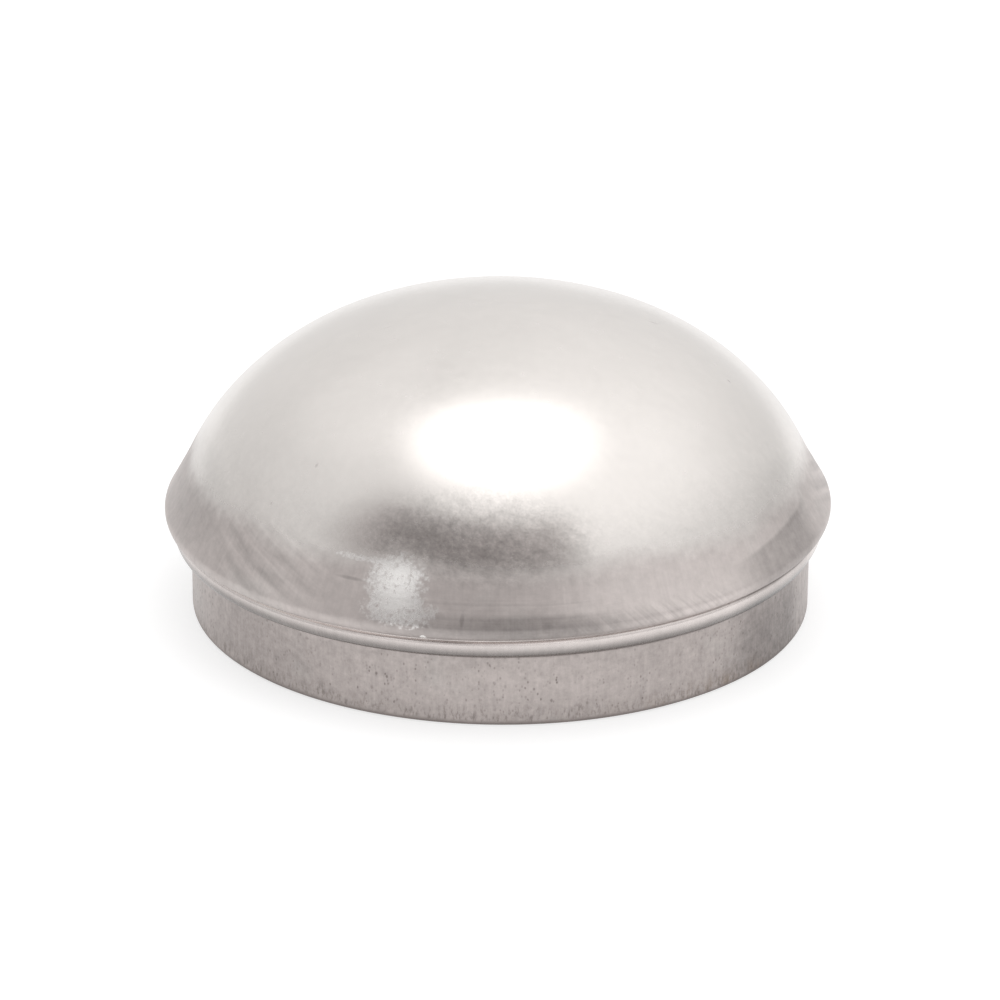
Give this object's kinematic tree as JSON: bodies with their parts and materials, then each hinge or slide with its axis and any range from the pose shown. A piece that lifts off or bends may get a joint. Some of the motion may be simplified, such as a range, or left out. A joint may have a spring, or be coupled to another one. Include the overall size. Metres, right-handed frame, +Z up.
{
  "type": "fence post cap",
  "caption": "Domed cap pressed from galvanised sheet steel, with a rounded shoulder, a bead under it and a short skirt that slides over the end of a round chain link fence post.",
  "frame": {"origin": "centre of the rim's flat underside, on the cap's axis", "axes": "+Z up along the cap's axis from the rim to the crown; the cap is round, so X and Y are any two directions square to it"},
  "size_m": [0.0676, 0.0676, 0.032],
  "materials": {
    "galvanised_steel": "zinc-coated pressed steel, satin, finely mottled, with faint draw marks on the skirt"
  },
  "bodies": {
    "root": {"dome_cap_shell": "galvanised_steel"}
  },
  "joints": []
}
